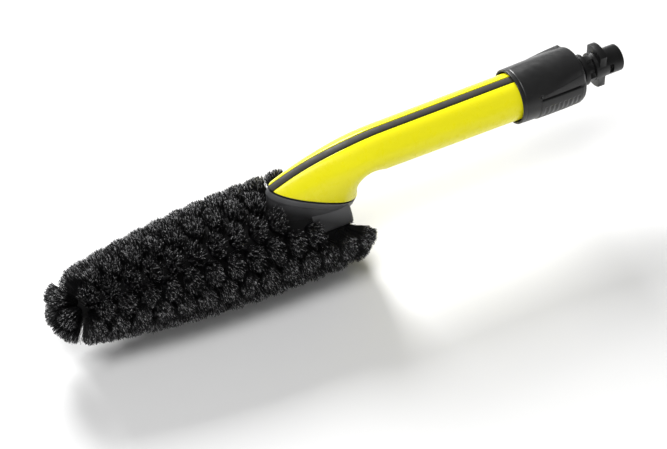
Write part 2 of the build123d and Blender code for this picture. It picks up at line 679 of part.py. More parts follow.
def neck_screws():
    """Two screws through the neck's floor into the core and its end cap."""
    screws = []
    for x, seat_z in NECK_SCREWS:
        screw = upright(SCREW_R, x, NECK_SCREW_BOTTOM, seat_z)
        screw += upright(SCREW_HEAD_R, x, seat_z, seat_z + 1.8)
        half_slot = SCREW_SLOT / 2
        slot = block((x - 1.8, x + 1.8), (-half_slot, half_slot), (seat_z + 0.9, seat_z + 3))
        screws.append(screw - slot)
    return screws


# ---- tufts ----------------------------------------------------------------------------------

def tuft_cone(spot, grow, height):
    """Cone that widens from the bottom of a tuft's socket, leaning by tilt towards -X."""
    x, radius, tilt, angle, depth = spot
    lean = radians(tilt)
    direction = Vector(-sin(lean), 0, cos(lean))
    base = Vector(x, 0, radius) - direction * (depth + grow)
    root_r, tip_r = (TUFT_ROOT_R, TUFT_TIP_R) if depth == SOCKET_DEPTH else (END_ROOT_R, END_TIP_R)
    spread = (tip_r - root_r) / (TUFT_LENGTH + depth)
    cone = Plane(origin=base, z_dir=direction) * Cone(
        root_r + grow, root_r + grow + spread * (height + depth), height + depth + grow,
        align=(Align.CENTER, Align.CENTER, Align.MIN))
    return head_frame() * Rot(angle, 0, 0) * cone


def tufts(spots):
    """Bristle tufts at (x, radius, tilt, angle, socket depth) spots, measured from the head's axis."""
    return [tuft_cone(spot, 0.0, TUFT_LENGTH) for spot in spots]


def sockets(spots):
    """Cutters for the blind holes in which the tufts are set."""
    return [tuft_cone(spot, SOCKET_CLEARANCE, 1.5) for spot in spots]


def ring_angles(index):
    """Angles of one ring's tufts from the top, staggered by half a step on every second ring."""
    first = 30 if index % 2 == 0 else 0
    return [first + 60 * step for step in range(TUFT_ROWS)]


def under_neck(x, angle):
    """True where the neck stands on the core or hangs behind it, so that no tuft fits."""
    from_top = min(angle % 360, 360 - angle % 360)
    return any(x > clear_x and from_top < clear_angle for clear_x, clear_angle in NECK_CLEAR)


def barrel_spots(index):
    """Tuft spots of one ring on the core's barrel."""
    x = RING_FIRST_X + RING_STEP * index
    return [(x, core_radius(x), core_slope(x), angle, SOCKET_DEPTH) for angle in ring_angles(index)
            if not under_neck(x, angle)]


def nose_spots():
    """One tuft straight ahead and six fanned around it."""
    polar = radians(NOSE_POLAR)
    x = NOSE_CENTRE_X - NOSE_R * cos(polar)
    ring = [(x, NOSE_R * sin(polar), 90 - NOSE_POLAR, angle, END_SOCKET_DEPTH) for angle in ring_angles(1)]
    return [(NOSE_CENTRE_X - NOSE_R, 0, 90, 0, END_SOCKET_DEPTH)] + ring


def dome_spots():
    """Two rings, each with twice the barrel's rows, that fan rearwards from the end cap's dome."""
    spots = []
    for step, dome_polar in enumerate(DOME_POLARS):
        polar = radians(dome_polar)
        x = DOME_CENTRE_X + DOME_R * cos(polar)
        radius = CORE_R - DOME_R + DOME_R * sin(polar)
        first = 15 * step
        spots += [(x, radius, dome_polar - 90, angle, END_SOCKET_DEPTH) for angle in range(first, 360, 30)
                  if not under_neck(x, angle)]
    return spots


# ---- write the nodes --------------------------------------------------------------------------

def save(name, shape):
    """Write one node; a list becomes a group of separate solids."""
    if isinstance(shape, list):
        solids = [solid for item in shape for solid in item.solids()]
        shape = Compound(children=solids)
    shape.label = name
    export_step(shape, os.path.join("parts", name + ".step"))


def main():
    os.makedirs("parts", exist_ok=True)
    core = core_outer()

    groups = {"tufts_nose": nose_spots()}
    for first in range(0, RING_COUNT, 2):
        pair = range(first, min(first + 2, RING_COUNT))
        name = f"tufts_ring_{first // 2 + 1:02d}"
        groups[name] = [spot for index in pair for spot in barrel_spots(index)]
    groups["tufts_rear"] = dome_spots()
    all_spots = [spot for group in groups.values() for spot in group]

    save("bayonet_connector", bayonet_connector())
    save("inlet_seal", inlet_seal())
    save("spigot_seals", spigot_seals())
    save("grip_collar", grip_collar())
    save("collar_snap_ring", collar_snap_ring())
    save("thrust_washer", thrust_washer())
    save("swivel_socket", swivel_socket())
    save("socket_clip", socket_clip())
    save("handle_shell_left", handle_shell(-1))
    save("handle_shell_right", handle_shell(1))
    save("top_strip", top_strip())
    save("handle_screws", handle_screws())
    save("water_pipe", water_pipe())
    save("pipe_clamps", pipe_clamps())
    save("nipple_seal", nipple_seal())
    save("neck_housing", neck_housing(core))
    save("neck_screws", neck_screws())
    save("brush_core", brush_core(core, all_spots))
    save("core_end_cap", core_end_cap(core, all_spots))
    save("end_cap_seal", end_cap_seal())
    for name, spots in groups.items():
        save(name, tufts(spots))


main()
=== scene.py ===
"""Looks of the wheel brush: moulded handle, bristle head and bayonet coupling on the CAD frame."""
import math

import bmesh
import bpy
import numpy as np
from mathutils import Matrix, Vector


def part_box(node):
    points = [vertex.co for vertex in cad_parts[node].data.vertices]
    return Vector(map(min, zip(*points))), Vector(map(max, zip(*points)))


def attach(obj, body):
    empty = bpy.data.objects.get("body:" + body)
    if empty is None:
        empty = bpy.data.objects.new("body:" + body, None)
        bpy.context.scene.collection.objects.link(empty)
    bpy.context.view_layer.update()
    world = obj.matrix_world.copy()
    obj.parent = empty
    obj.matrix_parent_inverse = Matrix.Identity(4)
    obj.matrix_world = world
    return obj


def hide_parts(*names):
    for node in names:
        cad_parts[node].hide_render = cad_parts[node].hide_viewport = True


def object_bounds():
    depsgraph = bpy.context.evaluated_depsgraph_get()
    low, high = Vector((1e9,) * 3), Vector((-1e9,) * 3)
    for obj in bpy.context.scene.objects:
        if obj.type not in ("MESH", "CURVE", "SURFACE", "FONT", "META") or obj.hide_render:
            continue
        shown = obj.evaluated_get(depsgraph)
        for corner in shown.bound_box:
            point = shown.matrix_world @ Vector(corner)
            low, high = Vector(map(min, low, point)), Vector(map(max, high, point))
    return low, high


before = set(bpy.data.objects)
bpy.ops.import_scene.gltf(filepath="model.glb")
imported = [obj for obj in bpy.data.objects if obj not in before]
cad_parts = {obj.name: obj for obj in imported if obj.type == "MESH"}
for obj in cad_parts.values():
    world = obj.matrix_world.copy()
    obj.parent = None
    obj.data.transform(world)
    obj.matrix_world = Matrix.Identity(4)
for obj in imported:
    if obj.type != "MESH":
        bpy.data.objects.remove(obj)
cad_low, cad_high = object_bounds()

MM = 0.001

# ---- driving sizes, millimetres, in the CAD's frame ------------------------------------------

HANDLE_REAR, HANDLE_REAR_R, HANDLE_FRONT_R = -26.0, 15.6, 14.8
BEND_X, BEND_Z, JOINT_ANGLE, EGG_FULLNESS = -160.0, -35.8, 155.4, 0.337
BEND_EASE, HEEL_DROP, HEEL_TUCK, TUCK_POWERS = 0.12, 3.1, 51.4, (1.5, 1.6)
TOP_RISE, APEX_REACH, APEX_POWER = 1.3, 31.3, 2.5
WALL = 2.6
SEAM_GAP = 0.2
STRIP_HALF, STRIP_GAP, STRIP_DEPTH = 2.5, 0.6, 1.3
GROOVE_EDGE_R = 0.45
NECK_BAND, NECK_STEP, NECK_DEPTH = 5.6, 0.7, 24.0
NECK_TAPER, NECK_FRONT_TRIM, NECK_WALL = 1.2, 7.0, 4.5
CORE_R, DOME_CENTRE_X, DOME_R, SADDLE_ANGLE = 19.5, -195.0, 8.0, 74.0

COLLAR_FRONT, COLLAR_REAR, COLLAR_WEB = -66.4, -17.6, 4.0
COLLAR_MOUTH_R, COLLAR_BELLY_R, COLLAR_BORE_R = 18.0, 18.5, 16.6
COLLAR_BELLY_X, COLLAR_CREST_X, HUB_R = -38.0, -21.0, 9.55
COLLAR_COLUMNS, COLLAR_STATIONS = 480, 190
CUFF_FRONT, CUFF_REAR, CUFF_RISE, CUFF_EDGE = -54.0, -22.5, 0.55, 73.0
FIN_FRONT, FIN_RISE, FIN_CREST, FIN_SPREAD = -52.5, 2.0, (66.0, 51.0), 11.0
SLIT_DEPTH = 1.1
DIMPLE_X, DIMPLE_ANGLE, DIMPLE_DEPTH = -52.8, 65.5, 0.8
PAD_ANGLE, PAD_PITCH, PAD_HALF_LENGTH, PAD_HALF_HEIGHT = 108.0, 3.4, 12.4, 4.6
RIM_GROOVE_OFFSET, RIM_GROOVE_DEPTH = 2.6, 0.22

FILAMENTS = 260
FILAMENT_R = 0.2
FILAMENT_RISE = (0.0, 0.25, 0.5, 0.66, 0.76, 0.84, 0.91, 0.96, 1.0)

# ---- tuft sizes, metres ----------------------------------------------------------------------

HEAD_REACH = 0.037
TUFT_WIDE, TUFT_WIDE_GAIN, TUFT_NARROW = 0.0047, 0.0052, 0.0063
TUFT_BASE, TUFT_CROWN, TUFT_TRIM = 0.0019, 0.0018, 0.00045
STRAY = 0.00042
CRIMP_SWING, CRIMP_LENGTH = 0.00024, 0.0115
ROOT_NEIGHBOURHOOD = 0.0062


# ---- mesh helpers ----------------------------------------------------------------------------

def mesh_object(name, vertices, faces, body, smooth_angle=35.0):
    """Mesh in the CAD's frame from millimetre points, riding on a body."""
    mesh = bpy.data.meshes.new(name)
    mesh.from_pydata(np.asarray(vertices) * MM, [], faces)
    mesh.validate()
    obj = bpy.data.objects.new(name, mesh)
    bpy.context.scene.collection.objects.link(obj)
    mesh.shade_smooth()
    mesh.set_sharp_from_angle(angle=math.radians(smooth_angle))
    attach(obj, body)
    return obj


def skin_tube(sections):
    """Closed body through equal closed point loops: skin quads and flat ends."""
    count, size = len(sections), len(sections[0])
    faces = []
    for row in range(count - 1):
        for col in range(size):
            a = row * size + col
            b = row * size + (col + 1) % size
            faces.append((a, b, b + size, a + size))
    faces.append(tuple(range(size))[::-1])
    faces.append(tuple(range((count - 1) * size, count * size)))
    return np.concatenate(sections), faces


def skin_wall(outer, inner, closed):
    """Wall between two sheets of equal rows: both skins, the ends, and the sides when not closed."""
    rows, cols = len(outer), len(outer[0])
    offset = rows * cols
    faces = []
    last = cols if closed else cols - 1
    for row in range(rows - 1):
        for col in range(last):
            a, b = row * cols + col, row * cols + (col + 1) % cols
            faces.append((a, b, b + cols, a + cols))
            faces.append((offset + a + cols, offset + b + cols, offset + b, offset + a))
        if not closed:
            a, b = row * cols, row * cols + cols - 1
            faces.append((a + cols, offset + a + cols, offset + a, a))
            faces.append((b, offset + b, offset + b + cols, b + cols))
    for row, flip in ((0, False), (rows - 1, True)):
        for col in range(last):
            a, b = row * cols + col, row * cols + (col + 1) % cols
            face = (b, a, offset + a, offset + b)
            faces.append(face[::-1] if flip else face)
    return np.concatenate([np.concatenate(outer), np.concatenate(inner)]), faces


# ---- the handle's form -----------------------------------------------------------------------

def station(share):
    """Frame of one handle section: -1 is the rear end, 0 the start of the bend, 1 the neck joint."""
    if share <= 0:
        x = BEND_X + (HANDLE_REAR - BEND_X) * -share
        radius = HANDLE_FRONT_R + (HANDLE_REAR_R - HANDLE_FRONT_R) * -share
        return np.array([x, 0, 0]), np.array([0, 0, 1.0]), -radius, radius, radius, 0.5
    angle = math.radians(90 + (JOINT_ANGLE - 90) * share)
    ease = (1 + BEND_EASE) * share ** 2 / (share + BEND_EASE)
    tuck = HEEL_TUCK * share ** TUCK_POWERS[0] * (1 - share) ** TUCK_POWERS[1]
    under = -BEND_Z - HANDLE_FRONT_R - HEEL_DROP * ease + tuck
    top = -BEND_Z + HANDLE_FRONT_R + TOP_RISE * ease + APEX_REACH * share ** APEX_POWER
    up = np.array([math.cos(angle), 0, math.sin(angle)])
    fullness = 0.5 + (EGG_FULLNESS - 0.5) * share
    return np.array([BEND_X, 0, BEND_Z]), up, under, top, HANDLE_FRONT_R, fullness


def egg_point(form, turn, inset=0.0, drop=0.0, trim=0.0):
    """Point of an egg section: turn runs from 0 at the top to pi at the underside."""
    origin, up, under, top, half, fullness = form
    under, top, half = under + inset, top - inset - trim, half - inset
    widest = under + (top - under) * fullness
    reach = (top - widest) if math.cos(turn) > 0 else (widest - under)
    along = np.array([-up[2], 0, up[0]])
    sideways = np.array([0, half * math.sin(turn), 0])
    return origin + up * (widest + reach * math.cos(turn)) + along * drop + sideways


def turn_at(form, y):
    """Turn at which the outer skin is a given width from the middle, on the top side."""
    return math.asin(y / form[4])


def handle_stations():
    """Stations, each with the extra inset that rounds the skin's edge at the neck joint."""
    shares = [(-1 + k / 10, 0.0) for k in range(10)] + [(k / 48, 0.0) for k in range(48)]
    return shares + [(0.992, 0.0), (0.9955, 0.04), (0.9985, 0.14), (1.0, 0.3)]


def shell_chain(form, side, extra):
    """Outer line of one shell's section, from the strip's groove round to the seam underneath."""
    groove = STRIP_HALF + STRIP_GAP
    up = form[1]
    edge_r = GROOVE_EDGE_R
    lip = egg_point(form, turn_at(form, groove), extra)
    seat = lip - up * STRIP_DEPTH
    chain = [seat * (1, 0, 1), seat, lip - up * edge_r]
    for step in (1, 2, 3):
        bend = math.radians(30 * step)
        y = groove + edge_r * (1 - math.cos(bend))
        chain.append(egg_point(form, turn_at(form, y), extra) - up * edge_r * (1 - math.sin(bend)))
    start = turn_at(form, groove + edge_r)
    seam = math.pi - SEAM_GAP / form[4]
    turns = [start + (seam - start) * k / 56 for k in range(1, 57)]
    chain += [egg_point(form, turn, extra) for turn in turns]
    chain.append(egg_point(form, math.pi, extra + SEAM_GAP))
    return np.array(chain) * (1, side, 1)


def handle_shell(name, node, side):
    """One moulded half of the handle."""
    outer, inner = [], []
    for share, extra in handle_stations():
        form = station(share)
        chain = shell_chain(form, side, extra)
        turns = [math.pi * k / (len(chain) - 1) for k in range(len(chain))]
        outer.append(chain)
        inner.append(np.array([egg_point(form, turn, WALL) for turn in turns]) * (1, side, 1))
    vertices, faces = skin_wall(outer, inner, closed=False)
    if side > 0:
        faces = [face[::-1] for face in faces]
    obj = mesh_object(name, vertices, faces, "brush")
    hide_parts(node)
    return obj


def top_strip():
    """Soft inlay: a bar with rounded shoulders and a faint crown, let into the handle's groove."""
    profile = [(0, 1.25), (2.5, 1.25), (2.5, 0.5), (2.42, 0.27), (2.2, 0.12), (1.4, 0.03), (0, -0.02)]
    loop = profile + [(-y, sink) for y, sink in profile[-2:0:-1]]
    sections = []
    for share, extra in handle_stations():
        form = station(share)
        points = []
        for y, sink in loop:
            point = egg_point(form, turn_at(form, abs(y)), extra * 0.5) - form[1] * sink
            points.append(point * (1, 1 if y >= 0 else -1, 1))
        sections.append(np.array(points))
    vertices, faces = skin_tube(sections)
    obj = mesh_object("inlay_strip", vertices, faces, "brush")
    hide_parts("top_strip")
    return obj


def saddle_row(x, radius, turns):
    """One row of points round the core's axis at (angle, cut) turns; a cut rounds the row's ends."""
    points = []
    for angle, cut in turns:
        sweep, reach = math.radians(angle), radius - cut
        points.append((x, reach * math.sin(sweep), HEAD_Z / MM + reach * math.cos(sweep)))
    return np.array(points)


def saddle():
    """Flanks of the neck's skirt that lie on the rear end of the core, with rounded edges."""
    profile = [(-213.5, 19.7), (-213.45, 20.2), (-213.2, 20.48), (-212.8, 20.6), (-196.0, 20.6),
               (-189.4, 20.6), (-188.6, 20.46), (-187.9, 20.1), (-187.4, 19.6), (-187.1, 19.0),
               (-187.0, 18.2)]
    edge = SADDLE_ANGLE - 1.5
    ends = [(SADDLE_ANGLE - 0.5, 0.12), (SADDLE_ANGLE, 0.5)]
    turns = [(-angle, cut) for angle, cut in ends[::-1]]
    turns += [(angle, 0.0) for angle in np.linspace(-edge, edge, 73)] + ends
    flat = [(angle, 0.0) for angle, _ in turns]
    outer, inner = [], []
    for x, radius in profile:
        behind = max(x - DOME_CENTRE_X, 0)
        core_r = CORE_R - DOME_R + math.sqrt(DOME_R ** 2 - behind ** 2) - 0.3
        outer.append(saddle_row(x, radius, turns))
        inner.append(saddle_row(x, min(core_r, radius - 0.6), flat))
    return skin_wall(outer, inner, closed=False)


def neck():
    """Black foot: band, rounded step, tapering skirt and the flanks that lie on the core."""
    form = station(1.0)
    run = NECK_DEPTH - NECK_BAND
    profile = [(0.02, 0.95, 0), (1.1, 0.9, 0), (1.12, 0.4, 0), (1.2, 0.15, 0), (1.45, 0.03, 0),
               (2.8, 0.1, 0), (NECK_BAND - 0.7, 0.17, 0), (NECK_BAND - 0.3, 0.25, 0),
               (NECK_BAND - 0.05, 0.5, 0), (NECK_BAND + 0.12, NECK_STEP, 0)]
    for k in range(1, 9):
        share = k / 8
        profile.append((NECK_BAND + run * share, NECK_STEP + NECK_TAPER * share, NECK_FRONT_TRIM * share))
    turns = [2 * math.pi * k / 144 for k in range(144)]
    outer, inner = [], []
    for drop, inset, trim in profile:
        outer.append(np.array([egg_point(form, turn, inset, drop, trim) for turn in turns]))
        inner.append(np.array([egg_point(form, turn, NECK_WALL + inset, drop, trim) for turn in turns]))
    vertices, faces = skin_wall(outer, inner, closed=True)
    flank_vertices, flank_faces = saddle()
    faces += [tuple(len(vertices) + corner for corner in face) for face in flank_faces]
    obj = mesh_object("neck_foot", np.concatenate([vertices, flank_vertices]), faces, "brush")
    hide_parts("neck_housing")
    return obj


# ---- the collar's form -----------------------------------------------------------------------

def ramp(value, low, high):
    """Smooth step from 0 at low to 1 at high."""
    t = np.clip((value - low) / (high - low), 0, 1)
    return t * t * (3 - 2 * t)


def fin_relief(x, side_angle):
    """Height of the finger fins, which grow towards the rear and end in a crest above the cuff."""
    run = np.clip((x - FIN_FRONT) / (CUFF_REAR - 1.0 - FIN_FRONT), 0, 1)
    crest = FIN_CREST[0] + (FIN_CREST[1] - FIN_CREST[0]) * run
    lower = CUFF_EDGE - 1.8
    rise = np.clip((side_angle - crest + FIN_SPREAD) / FIN_SPREAD, 0, 1) ** 1.7
    fall = np.clip((lower - side_angle) / (lower - crest), 0, 1)
    fin = FIN_RISE * run ** 0.8 * np.minimum(rise, fall)
    return fin * ramp(x, FIN_FRONT, FIN_FRONT + 2) * ramp(-x, 20.6, 22.4)


def collar_relief(x, angle):
    """Height of fins, cuff, slit, dimple and grip ribs over the collar's plain barrel."""
    side_angle = np.abs(angle)
    arc = np.radians(1) * COLLAR_BELLY_R
    within = ramp(x, CUFF_FRONT - 0.1, CUFF_FRONT + 0.6) * ramp(-x, -CUFF_REAR - 0.1, -CUFF_REAR + 0.6)
    cuff_edge = (CUFF_EDGE + 1.4) * arc
    cuff = CUFF_RISE * within * ramp(side_angle * arc, cuff_edge, cuff_edge + 0.5)
    slit_run = ramp(x, CUFF_FRONT + 0.8, CUFF_FRONT + 1.6) * ramp(-x, -CUFF_REAR + 1.6, -CUFF_REAR + 2.6)
    slit_gap = np.abs(side_angle - CUFF_EDGE - 0.2) * arc
    slit = -SLIT_DEPTH * slit_run * (1 - ramp(slit_gap, 0.32, 0.6))
    dimple_gap = np.hypot(x - DIMPLE_X, (side_angle - DIMPLE_ANGLE) * arc)
    dimple = -DIMPLE_DEPTH * (1 - ramp(dimple_gap, 0.55, 1.3))
    middle = (CUFF_FRONT + CUFF_REAR) / 2
    panel = ramp(np.abs(side_angle - PAD_ANGLE) * -arc, -PAD_HALF_HEIGHT - 1.0, -PAD_HALF_HEIGHT)
    panel = panel * ramp(-np.abs(x - middle), -PAD_HALF_LENGTH - 0.8, -PAD_HALF_LENGTH)
    ribs = 0.5 + 0.5 * np.cos((x - middle) * 2 * math.pi / PAD_PITCH)
    pad = panel * (-0.42 + 0.5 * ribs)
    rim_gap = np.abs(x - COLLAR_FRONT - RIM_GROOVE_OFFSET)
    rim = -RIM_GROOVE_DEPTH * (1 - ramp(rim_gap, 0.15, 0.55))
    return cuff + fin_relief(x, side_angle) + slit + dimple + pad + rim


def collar_barrel(x):
    """Radius of the collar's plain barrel, widest a little behind its middle."""
    front = np.clip((x - COLLAR_BELLY_X) / (COLLAR_FRONT - COLLAR_BELLY_X), 0, 1)
    rear = np.clip((x - COLLAR_BELLY_X) / (COLLAR_CREST_X - COLLAR_BELLY_X), 0, 1)
    return COLLAR_BELLY_R - (COLLAR_BELLY_R - COLLAR_MOUTH_R) * front ** 2 - 0.3 * rear ** 2


def collar():
    """Swivel collar as one ring-shaped skin: bore, mouth lip, relief surface, shoulder and web."""
    lip = [(COLLAR_FRONT + 0.5, -0.75), (COLLAR_FRONT + 0.12, -0.55), (COLLAR_FRONT, -0.3)]
    xs = np.linspace(COLLAR_FRONT + 0.25, COLLAR_CREST_X - 0.6, COLLAR_STATIONS)
    shoulder = [(COLLAR_CREST_X, 17.95), (-20.4, 17.55), (-19.7, 16.7), (-18.7, 14.9), (-18.1, 13.6),
                (-17.75, 12.9), (COLLAR_REAR, 12.3), (COLLAR_REAR, 9.9), (-17.75, HUB_R)]
    web = COLLAR_REAR - COLLAR_WEB
    inside = [(web, HUB_R), (web, COLLAR_BORE_R - 0.6), (web - 0.6, COLLAR_BORE_R),
              (-40.0, COLLAR_BORE_R), (COLLAR_FRONT + 1.0, COLLAR_BORE_R),
              (COLLAR_FRONT + 0.25, COLLAR_BORE_R + 0.15)]
    rows = []
    for k in range(COLLAR_COLUMNS):
        angle = 360.0 * k / COLLAR_COLUMNS
        signed = angle if angle <= 180 else angle - 360
        profile = [(x, COLLAR_MOUTH_R + sink) for x, sink in lip]
        radii = collar_barrel(xs) + collar_relief(xs, np.full_like(xs, signed))
        profile += list(zip(xs, radii)) + shoulder + inside
        sweep = math.radians(angle)
        rows.append(np.array([(x, -r * math.sin(sweep), r * math.cos(sweep)) for x, r in profile]))
    size = len(rows[0])
    faces = []
    for k in range(COLLAR_COLUMNS):
        row, following = k * size, (k + 1) % COLLAR_COLUMNS * size
        for j in range(size):
            after = (j + 1) % size
            faces.append((row + j, row + after, following + after, following + j))
    obj = mesh_object("swivel_collar", np.concatenate(rows), faces, "coupling", 50)
    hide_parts("grip_collar")
    return obj


# ---- the connector ---------------------------------------------------------------------------

def rounded_copy(name, node, body, width):
    """The CAD node again with its sharp moulded edges rounded over."""
    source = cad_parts[node]
    mesh = source.data.copy()
    work = bmesh.new()
    work.from_mesh(mesh)
    bmesh.ops.remove_doubles(work, verts=work.verts, dist=2e-6)
    bmesh.ops.dissolve_limit(work, angle_limit=math.radians(0.6), verts=work.verts, edges=work.edges)
    work.to_mesh(mesh)
    work.free()
    obj = bpy.data.objects.new(name, mesh)
    bpy.context.scene.collection.objects.link(obj)
    bevel = obj.modifiers.new("edges", "BEVEL")
    bevel.width = width * MM
    bevel.segments = 3
    bevel.limit_method = "ANGLE"
    bevel.angle_limit = math.radians(38)
    depsgraph = bpy.context.evaluated_depsgraph_get()
    obj.data = bpy.data.meshes.new_from_object(obj.evaluated_get(depsgraph))
    obj.modifiers.clear()
    obj.data.shade_smooth()
    obj.data.set_sharp_from_angle(angle=math.radians(32))
    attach(obj, body)
    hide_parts(node)
    return obj


# ---- bristles --------------------------------------------------------------------------------

def tuft_axes(node):
    """Root and tip of every tuft of a CAD node, in metres, the root nearer the head's middle."""
    work = bmesh.new()
    work.from_mesh(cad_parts[node].data)
    bmesh.ops.remove_doubles(work, verts=work.verts, dist=1e-6)
    work.verts.index_update()
    seen = set()
    axes = []
    for seed in work.verts:
        if seed.index in seen:
            continue
        seen.add(seed.index)
        grown, island = [seed], []
        while grown:
            vertex = grown.pop()
            island.append(np.array(vertex.co))
            for edge in vertex.link_edges:
                other = edge.other_vert(vertex)
                if other.index not in seen:
                    seen.add(other.index)
                    grown.append(other)
        points = np.array(island)
        centre = points.mean(0)
        _, _, directions = np.linalg.svd(points - centre)
        along = (points - centre) @ directions[0]
        ends = [points[along > along.max() * 0.98].mean(0), points[along < along.min() * 0.98].mean(0)]
        ends = sorted(ends, key=lambda p: np.linalg.norm(points_spread(points, p)))
        axes.append(tuple(ends))
    work.free()
    return axes


def points_spread(points, end):
    """Mean distance of a tuft's outline points to one end: small at the narrow root."""
    near = np.linalg.norm(points - end, axis=1)
    return near[near < ROOT_NEIGHBOURHOOD].mean()


def tuft_filaments(root, tip, count, rng):
    """Centre lines (count, steps, 3) and tip tones of one tuft's crimped filaments."""
    axis = tip - root
    length = np.linalg.norm(axis)
    axis = axis / length
    across = np.cross([1.0, 0, 0], axis)
    if np.linalg.norm(across) < 0.2:
        across = np.array([0, 1.0, 0])
    across /= np.linalg.norm(across)
    lengthwise = np.cross(across, axis)
    reach = np.hypot(tip[1], tip[2] - HEAD_Z)
    wide = TUFT_WIDE + TUFT_WIDE_GAIN * np.clip(reach / HEAD_REACH, 0, 1)
    spread = np.sqrt(rng.random(count))
    turn = rng.random(count) * 2 * math.pi
    u, v = spread * np.cos(turn), spread * np.sin(turn)
    stray = rng.normal(0, STRAY, (count, 2)) * (1 + 1.2 * (rng.random((count, 1)) < 0.12))
    tip_u, tip_v = u * TUFT_NARROW + stray[:, 0], v * wide + stray[:, 1]
    height = length + rng.normal(0, TUFT_TRIM, count) - TUFT_CROWN * spread ** 3
    height -= 0.5 * tip_v ** 2 / max(reach, 0.012) * (reach > 0.012)
    s = np.array(FILAMENT_RISE)
    flare = s ** 0.95
    base_u, base_v = u * TUFT_BASE, v * TUFT_BASE
    path_u = base_u[:, None] + (tip_u - base_u)[:, None] * flare
    path_v = base_v[:, None] + (tip_v - base_v)[:, None] * flare
    wave = rng.uniform(2.0, 3.2, count)[:, None] * 2 * math.pi * s[None] * length / CRIMP_LENGTH
    phase = rng.random((count, 1)) * 2 * math.pi
    swing = CRIMP_SWING * ramp(s, 0.1, 0.5)
    heading = rng.random((count, 1)) * 2 * math.pi
    path_u += swing * np.sin(wave + phase) * np.cos(heading)
    path_v += swing * np.sin(wave + phase) * np.sin(heading)
    path_h = height[:, None] * s[None]
    lines = root + path_u[..., None] * lengthwise + path_v[..., None] * across + path_h[..., None] * axis
    return lines, rng.random(count) * (1 - 0.35 * spread ** 4)


def filament_skin(lines):
    """Points of three-sided tapering tubes round centre lines of shape (count, steps, 3)."""
    heading = np.gradient(lines, axis=1)
    heading /= np.linalg.norm(heading, axis=2, keepdims=True)
    helper = np.where(np.abs(heading[..., :1]) < 0.8, [1.0, 0, 0], [0, 1.0, 0])
    side = np.cross(heading, helper)
    side /= np.linalg.norm(side, axis=2, keepdims=True)
    other = np.cross(heading, side)
    taper = FILAMENT_R * MM * (1 - 0.25 * np.array(FILAMENT_RISE))[None, :, None]
    rings = []
    for corner in range(3):
        angle = 2 * math.pi * corner / 3
        rings.append(lines + taper * (side * math.cos(angle) + other * math.sin(angle)))
    return np.stack(rings, axis=2).reshape(-1, 3)


def filament_faces(count, steps):
    """Corner indices and face sizes of the tubes: quads along each filament, a triangle at each end."""
    first = (np.arange(count) * steps * 3)[:, None, None]
    row = (np.arange(steps - 1) * 3)[None, :, None]
    corner = np.arange(3)[None, None, :]
    a = first + row + corner
    b = first + row + (corner + 1) % 3
    quads = np.stack([a, b, b + 3, a + 3], axis=-1).reshape(-1, 4)
    start = np.arange(count) * steps * 3
    tips = np.stack([start + (steps - 1) * 3 + k for k in range(3)], axis=-1)
    roots = np.stack([start + k for k in (2, 1, 0)], axis=-1)
    triangles = np.concatenate([tips, roots])
    loops = np.concatenate([quads.ravel(), triangles.ravel()])
    sizes = np.concatenate([np.full(len(quads), 4), np.full(len(triangles), 3)])
    return loops, sizes


def add_strand_colours(mesh, tones, painted_glints):
    """Vertex colours for the shader: the filament's tone, the share of its length, a random value for the
    painted glints.
    """
    count, steps = len(tones), len(FILAMENT_RISE)
    tone = np.repeat(tones, steps * 3)
    share = np.tile(np.repeat(FILAMENT_RISE, 3), count)
    colours = np.stack([tone, share, np.repeat(painted_glints, 3), np.ones_like(tone)], axis=-1)
    attribute = mesh.color_attributes.new("strand", "FLOAT_COLOR", "POINT")
    attribute.data.foreach_set("color", colours.ravel())


def add_strand_uv(mesh, count, loops):
    """UV layer in which every filament has a narrow column of its own, its length upwards."""
    steps = len(FILAMENT_RISE)
    share = np.tile(np.repeat(FILAMENT_RISE, 3), count)
    column = np.repeat((np.arange(count) + 0.5) / count, steps * 3)
    around = np.tile(np.tile(np.arange(3) / 3.0 * 0.8 / count, steps), count)
    per_vertex = np.stack([column + around - 0.4 / count, share], axis=-1)
    layer = mesh.uv_layers.new(name="OFBake")
    layer.data.foreach_set("uv", per_vertex[loops].ravel())


def filament_mesh(name, node, rng):
    """All filaments of one CAD tuft node as one piece."""
    lines, tones = [], []
    for root, tip in tuft_axes(node):
        paths, tone = tuft_filaments(root, tip, FILAMENTS, rng)
        lines.append(paths)
        tones.append(tone)
    lines, tones = np.concatenate(lines), np.concatenate(tones)
    count, steps = lines.shape[:2]
    vertices = filament_skin(lines)
    loops, sizes = filament_faces(count, steps)
    mesh = bpy.data.meshes.new(name)
    mesh.vertices.add(len(vertices))
    mesh.vertices.foreach_set("co", vertices.ravel())
    mesh.loops.add(len(loops))
    mesh.loops.foreach_set("vertex_index", loops)
    mesh.polygons.add(len(sizes))
    mesh.polygons.foreach_set("loop_start", np.concatenate([[0], np.cumsum(sizes)[:-1]]))
    mesh.update(calc_edges=True)
    mesh.shade_smooth()
    add_strand_colours(mesh, tones, rng.random(count * steps))
    add_strand_uv(mesh, count, loops)
    obj = bpy.data.objects.new(name, mesh)
    bpy.context.scene.collection.objects.link(obj)
    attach(obj, "brush")
    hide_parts(node)
    return obj


# ---- materials -------------------------------------------------------------------------------

# Socket positions of the Mix node when it blends colours.
MIX_FACTOR, MIX_FIRST, MIX_SECOND, MIX_RESULT = 0, 6, 7, 2

